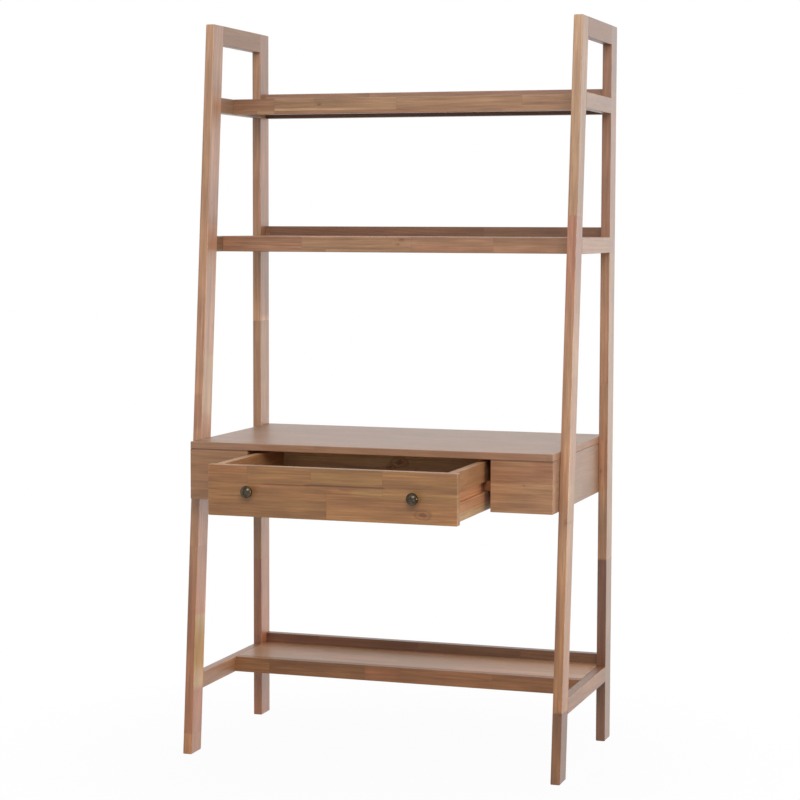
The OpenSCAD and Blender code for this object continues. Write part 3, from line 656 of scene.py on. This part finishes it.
def dress_rails():
    for right, side in enumerate(SIDES):
        board(f"top_rail_{side}", "yz", RAIL_WARM if right else RAIL,
              by_chance(31 + right, TOP_RAIL_H, length=0.9, spread=0.04, tone=TOP_RAIL_TONES[right]),
              ease=RAIL_EASE, ends=False, contrast=0.7)
        for number, level in enumerate(LEVELS):
            low = level == "lower"
            board(f"{level}_side_rail_{side}", "yz", RAIL_WARM if low else RAIL,
                  by_chance(41 + 3 * number + right, RAIL_H, length=0.9, spread=0.05,
                            tone=SIDE_RAIL_TONES[level][right]),
                  ease=RAIL_EASE, ends=False, contrast=0.8, coat=0.5 if low else 0.6)


# Shelves. The boards are darker below, and so is the part of the upper back rail below its board: both are
# painted shade.
RIM_EASE = 0.0016
STAVE_H = 0.05                     # about how wide the staves of a shelf board are
# The lower board is lighter: painted light in the shade of the middle shelf
BOARD_TONES = {"upper": 0.12, "middle": 0.12, "lower": 0.74}
# The middle and lower back rails are darker: painted shade under the shelf above
BACK_RAIL_TONES = {"upper": 0.04, "middle": -0.80, "lower": -0.80}
PAINTED_SHADE_UNDERSIDE = Band("through", -1.0, 0.0, -0.9, 0.4)
BACK_RAIL_PAINTED_SHADE = {"upper": [Band("across", -0.032, -0.009, -1.0, 0.5)]}
BACK_RAIL_SHADES = {"lower": [Shade("along", -0.05, -0.30, 0.38, 0.8, 0.0)]}


def dress_shelf_boards():
    for number, level in enumerate(LEVELS):
        low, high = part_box(f"{level}_shelf_board")
        depth = (high - low).y
        board(f"{level}_shelf_board", "xy", SHELF,
              by_chance(60 + number, depth / round(depth / STAVE_H), length=0.30, spread=0.07,
                        tone=BOARD_TONES[level]),
              ease=0.0004, ends=False, contrast=0.7, bands=[PAINTED_SHADE_UNDERSIDE])
        board(f"{level}_shelf_back_rail", "xz", SHELF_PALE if level == "upper" else SHELF,
              by_chance(80 + number, BACK_RAIL_H, length=0.34, spread=0.06, tone=BACK_RAIL_TONES[level]),
              ease=RIM_EASE, ends=False, bands=BACK_RAIL_PAINTED_SHADE.get(level, ()),
              shades=BACK_RAIL_SHADES.get(level, ()))


def dress_rims():
    board("upper_shelf_rim", "xz", SHELF,
          by_hand((0.0080, (0.063, -0.12, 0.0), (0.0463, 0.40, -0.6), (REST, -0.06, 0.0)),
                  (0.0060, (0.1093, -0.17, 0.0), (0.3176, 0.50, -0.8), (REST, 0.02, -0.3)),
                  (REST, (0.1093, -0.22, -0.1), (0.1054, -0.02, -0.5), (0.2122, 0.14, -0.6),
                   (0.315, -0.01, -0.5), (REST, 0.0, -0.1))),
          ease=RIM_EASE, ends=False, contrast=1.2, knots=[Knot(-0.222, "across", 0.004, 0.0035)],
          strokes=[Stroke(0.0, 0.40, "across", 0.006, 0.004, 0.16),
                   Stroke(-0.42, -0.35, "across", 0.010, 0.003, 0.15)])
    board("middle_shelf_rim", "xz", SHELF,
          by_hand((0.0070, (0.27, -0.05, 0.0), (0.2195, 0.34, -0.6), (0.2038, -0.15, -0.2),
                   (REST, 0.05, 0.0)),
                  (REST, (0.2077, 0.02, 0.2), (0.2820, 0.15, -0.4), (0.2040, 0.12, -0.2),
                   (REST, 0.10, 0.0))),
          ease=RIM_EASE, ends=False, contrast=1.2,
          knots=[Knot(0.016, "across", 0.012, 0.004), Knot(0.006, "across", 0.001, 0.003)],
          strokes=[Stroke(-0.42, -0.24, "across", 0.003, 0.0014, -0.40),
                   Stroke(-0.45, 0.45, "across", 0.0140, 0.0035, -0.22),
                   Stroke(0.05, 0.40, "across", -0.008, 0.010, 0.14)])
    board("lower_shelf_rim", "xz", SHELF_WARM,
          by_hand((RAIL_H, (0.0934, -0.02, 0.2), (0.2538, -0.30, 0.1), (0.33, -0.04, 0.3),
                   (REST, -0.30, 0.2))),
          ease=RIM_EASE, ends=False, contrast=1.2, coat=0.25,
          strokes=[Stroke(-0.095, -0.02, "across", 0.0, 0.018, 0.24)])


# Desk case
CASE_ROW_H = 0.0404
PAINTED_SHADOW_UNDER_TOP = Band("across", 0.0576, 0.0620, -1.1, 0.0)         # painted shadow: the dark line under the desktop's edge


def dress_case():
    board("desktop", "xy", TOP, by_chance(90, 0.0513, length=0.45, spread=0.07, tone=-0.03),
          ease=0.0018, contrast=0.75)
    for number, side in enumerate(SIDES, start=1):
        board(f"case_side_{side}", "yz", CASE_SIDE,
              by_chance(100 + number, CASE_ROW_H, length=0.4, spread=0.05, tone=-0.16),
              ease=0.0006, contrast=0.7)
        board(f"case_divider_{side}", "yz", CASE,
              by_chance(120 + number, CASE_ROW_H, length=0.3, spread=0.10), ease=0.0006)
        board(f"drawer_runner_{side}", "yz", RUNNER,
              by_chance(130 + number, 0.03, length=0.8, spread=0.1), ease=0.0010, coat=0.0)
    board("case_back", "xz", CASE, by_chance(140, CASE_ROW_H, length=0.3, spread=0.10),
          ease=0.0006)


def dress_case_fronts():
    board("case_front_left", "xz", CASE,
          by_hand((0.0676, (REST, 0.10, 0.2)), (REST, (REST, 0.14, 0.2))),
          ease=0.0010, bands=[PAINTED_SHADOW_UNDER_TOP])
    board("case_front_right", "xz", CASE,
          by_hand((0.045, (REST, 0.44, 0.2)), (0.0235, (REST, 0.62, -0.2)), (REST, (REST, 0.32, 0.1))),
          ease=0.0010, contrast=1.15, knots=[Knot(0.006, "across", 0.004, 0.0020)],
          strokes=[Stroke(0.030, 0.09, "across", 0.045, 0.026, -0.16)], bands=[PAINTED_SHADOW_UNDER_TOP])


# Drawer
PAINTED_SHEEN_SIDE_TOP = Band("across", 0.0558, 0.0570, 0.55, -0.3)         # painted sheen: the pale upper edge of a side
GROOVE_BOTTOM = Band("through", 0.0005, 0.0016, 0.12, 0.3)    # the bottom of the right side's groove


def dress_drawer_front():
    board("drawer_front", "xz", FRONT,
          by_hand((0.0590, (0.2876, 0.12, 0.2), (REST, 0.27, 0.2)),
                  (0.0185, (0.4194, 0.02, -0.1), (REST, 0.02, 0.2)),
                  (REST, (0.0979, 0.06, 0.7), (0.1528, -0.09, -0.1), (0.1687, 0.01, -0.4),
                   (REST, 0.06, 0.2))),
          ease=0.0014, contrast=1.2, knots=[Knot(0.2169, "across", -0.0366, 0.0100)],
          strokes=[Stroke(-0.060, 0.126, "across", 0.0195, 0.0026, -1.15),
                   Stroke(-0.16, -0.05, "across", 0.0180, 0.0020, -0.70),
                   Stroke(0.00, 0.33, "across", 0.0065, 0.0040, 0.40),
                   Stroke(0.05, 0.33, "across", 0.0055, 0.0105, 0.25, -0.8),
                   Stroke(-0.17, 0.02, "across", 0.0125, 0.0045, 0.32),
                   Stroke(0.00, 0.19, "across", -0.0105, 0.0014, -0.40),
                   Stroke(0.01, 0.10, "across", -0.0180, 0.0012, -0.35)])


def dress_drawer_box():
    board("drawer_side_left", "yz", DRAWER, by_chance(161, 0.0377, length=0.5, spread=0.05, tone=0.10),
          ease=0.0010, coat=0.1, bands=[PAINTED_SHEEN_SIDE_TOP])
    board("drawer_side_right", "yz", DRAWER,
          by_hand((0.0190, (REST, 0.56, -0.8)), (0.0175, (REST, 0.06, 0.4)), (0.0300, (REST, 0.22, 0.2)),
                  (REST, (REST, -0.36, 0.2))),
          ease=0.0010, coat=0.1, bands=[GROOVE_BOTTOM, PAINTED_SHEEN_SIDE_TOP],
          strokes=[Stroke(-0.2, 0.2, "across", -0.0185, 0.0012, -0.45),
                   Stroke(-0.2, 0.2, "across", -0.0420, 0.0014, -0.35)])
    board("drawer_back", "xz", INNER,
          by_hand((0.066, (REST, 0.3, -0.4)), (0.013, (0.30, 0.70, -0.7), (REST, 0.40, -0.5)),
                  (REST, (0.30, 0.40, -0.5), (REST, 0.44, -0.6))),
          ease=0.0008, coat=0.1,
          knots=[Knot(0.030, "across", 0.028, 0.012), Knot(0.008, "across", 0.016, 0.006)])
    board("drawer_bottom", "xy", BOTTOM, by_chance(180, 0.1, length=0.5, spread=0.05),
          ease=0.0004, coat=0.1)


# Dowels, knobs, screws and bolts
def dress_dowels():
    for name in ("shelf_dowels", "case_dowels", "drawer_dowels"):
        low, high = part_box(name)
        dress(name, wood(name + "_wood", (low + high) / 2, tuple(AXIS.values()), (high - low) / 2, DOWEL,
                         by_hand((REST, (REST, 0.0, 0.0)))))


def metal(name, base, dark, worn, roughness, scale):
    """Metal with a dark mottled patina and fine, lighter worn scratches; scale is patches per metre."""
    material, net = new_material(name)
    place = net.node("ShaderNodeTexCoord").outputs["Object"]
    patch = net.noise(net.scale(place, scale), 4.0, 0.6)
    fine = net.noise(net.vec("MULTIPLY", place, (scale * 9, scale * 9, scale * 2)))
    mottled = net.mix("RGBA", net.ramp(patch, 0.40, 0.62), dark, base)
    colour = net.mix("RGBA", net.times(net.ramp(fine, 0.52, 0.72), 0.35), mottled, worn)
    surface = net.node("ShaderNodeBsdfPrincipled", {
        "Base Color": colour, "Metallic": 1.0, "Roughness": net.times_plus(patch, 0.25, roughness),
        "Normal": net.bump(fine, 0.3, 0.0001)})
    net.node("ShaderNodeOutputMaterial", {"Surface": surface.outputs[0]})
    return material


def dress_metal():
    bronze = metal("antique_bronze", base=srgb(88, 78, 63), dark=srgb(56, 50, 40),
                   worn=srgb(140, 130, 112), roughness=0.12, scale=110.0)
    steel = metal("zinc_steel", base=srgb(170, 170, 168), dark=srgb(140, 140, 140),
                  worn=srgb(200, 200, 198), roughness=0.30, scale=300.0)
    for name in ("knob_left", "knob_right"):
        dress(name, bronze)
    for name in ("knob_screws", "runner_screws", "frame_bolts"):
        dress(name, steel)


# Camera, fitted to the straight edges in the photograph
CAMERA_PLACE = (1.6756, -4.9604, 1.2841)
YAW, PITCH, ROLL = (math.radians(angle) for angle in (18.232, -4.576, 0.169))
FOCAL_PIXELS, IMAGE_PIXELS = 2206.46, 800
SENSOR = 36.0                      # millimetres


def make_camera():
    forward = Vector((-math.sin(YAW) * math.cos(PITCH), math.cos(YAW) * math.cos(PITCH), math.sin(PITCH)))
    level = Vector((math.cos(YAW), math.sin(YAW), 0.0))
    upright = level.cross(forward)
    right = level * math.cos(ROLL) + upright * math.sin(ROLL)
    up = upright * math.cos(ROLL) - level * math.sin(ROLL)
    data = bpy.data.cameras.new("camera")
    data.sensor_width = SENSOR
    data.lens = FOCAL_PIXELS / IMAGE_PIXELS * SENSOR
    data.clip_end = 100.0
    camera = bpy.data.objects.new("camera", data)
    bpy.context.scene.collection.objects.link(camera)
    placed = Matrix((right, up, -forward)).transposed().to_4x4()
    placed.translation = CAMERA_PLACE
    camera.matrix_world = placed
    bpy.context.scene.camera = camera


# Stage: a white world, a pale floor and soft lamps
AMBIENT = 0.52                     # the world's strength as a light
FLOOR_HALF = 14.0                  # metres from its middle to its sides
FLOOR_DROP = 0.0005                # metres that the floor lies below the feet
FLOOR_GREY = (0.38, 0.38, 0.38)
SHADOW_REACH = (0.3, 1.2)          # metres from the middle over which the floor's shadow fades out
SHADOW_SHARE = 0.035               # how much of the lit grey shows at the middle


def make_world():
    world = bpy.data.worlds.new("studio")
    bpy.context.scene.world = world
    world.use_nodes = True
    world.node_tree.nodes.clear()
    net = Net(world.node_tree)
    lit = net.node("ShaderNodeBackground", {"Color": WHITE, "Strength": AMBIENT})
    shown = net.node("ShaderNodeBackground", {"Color": WHITE, "Strength": 1.0})
    mixed = net.node("ShaderNodeMixShader", {0: net.seen(), 1: lit.outputs[0], 2: shown.outputs[0]})
    net.node("ShaderNodeOutputWorld", {"Surface": mixed.outputs[0]})


def make_floor():
    """A floor that shows as white, with a little of its lit grey, and so its shadow, near the object."""
    mesh = bpy.data.meshes.new("floor")
    corners = [(x * FLOOR_HALF, y * FLOOR_HALF, 0.0) for x, y in ((-1, -1), (1, -1), (1, 1), (-1, 1))]
    mesh.from_pydata(corners, [], [(0, 1, 2, 3)])
    floor = bpy.data.objects.new("floor", mesh)
    bpy.context.scene.collection.objects.link(floor)
    floor.location.z = -FLOOR_DROP
    material, net = new_material("pale_floor")
    distance = net.vec("LENGTH", net.node("ShaderNodeTexCoord").outputs["Object"])
    white_share = net.ramp(distance, *SHADOW_REACH, 1.0 - SHADOW_SHARE, 1.0)
    grey = net.node("ShaderNodeBsdfDiffuse", {"Color": FLOOR_GREY})
    glow = net.node("ShaderNodeEmission", {"Color": WHITE, "Strength": 1.0})
    mixed = net.node("ShaderNodeMixShader", {
        0: net.times(net.seen(), white_share), 1: grey.outputs[0], 2: glow.outputs[0]})
    net.node("ShaderNodeOutputMaterial", {"Surface": mixed.outputs[0]})
    mesh.materials.append(material)


def lamp(name, place, target, size, watts, spread=180.0):
    """A soft rectangular lamp that faces its target."""
    data = bpy.data.lights.new(name, "AREA")
    data.shape = "RECTANGLE"
    data.size, data.size_y = size
    data.energy = watts
    data.spread = math.radians(spread)
    made = bpy.data.objects.new(name, data)
    bpy.context.scene.collection.objects.link(made)
    made.location = place
    made.rotation_mode = "QUATERNION"
    made.rotation_quaternion = (Vector(target) - Vector(place)).to_track_quat("-Z", "Y")


dress_front_legs()
dress_rear_legs()
dress_rails()
dress_shelf_boards()
dress_rims()
dress_case()
dress_case_fronts()
dress_drawer_front()
dress_drawer_box()
dress_dowels()
dress_metal()
make_camera()
make_world()
make_floor()
lamp("key", place=(1.0, -2.8, 2.75), target=(0.0, 0.0, 1.5), size=(2.0, 1.6), watts=58.0)
lamp("right", place=(4.6, 0.1, 0.85), target=(0.0, 0.1, 0.75), size=(1.8, 1.0), watts=10.4, spread=60.0)
lamp("behind", place=(3.4, 3.6, 1.4), target=(0.0, 0.0, 0.8), size=(3.0, 2.5), watts=30.0)

bpy.context.scene.view_settings.view_transform = "Standard"
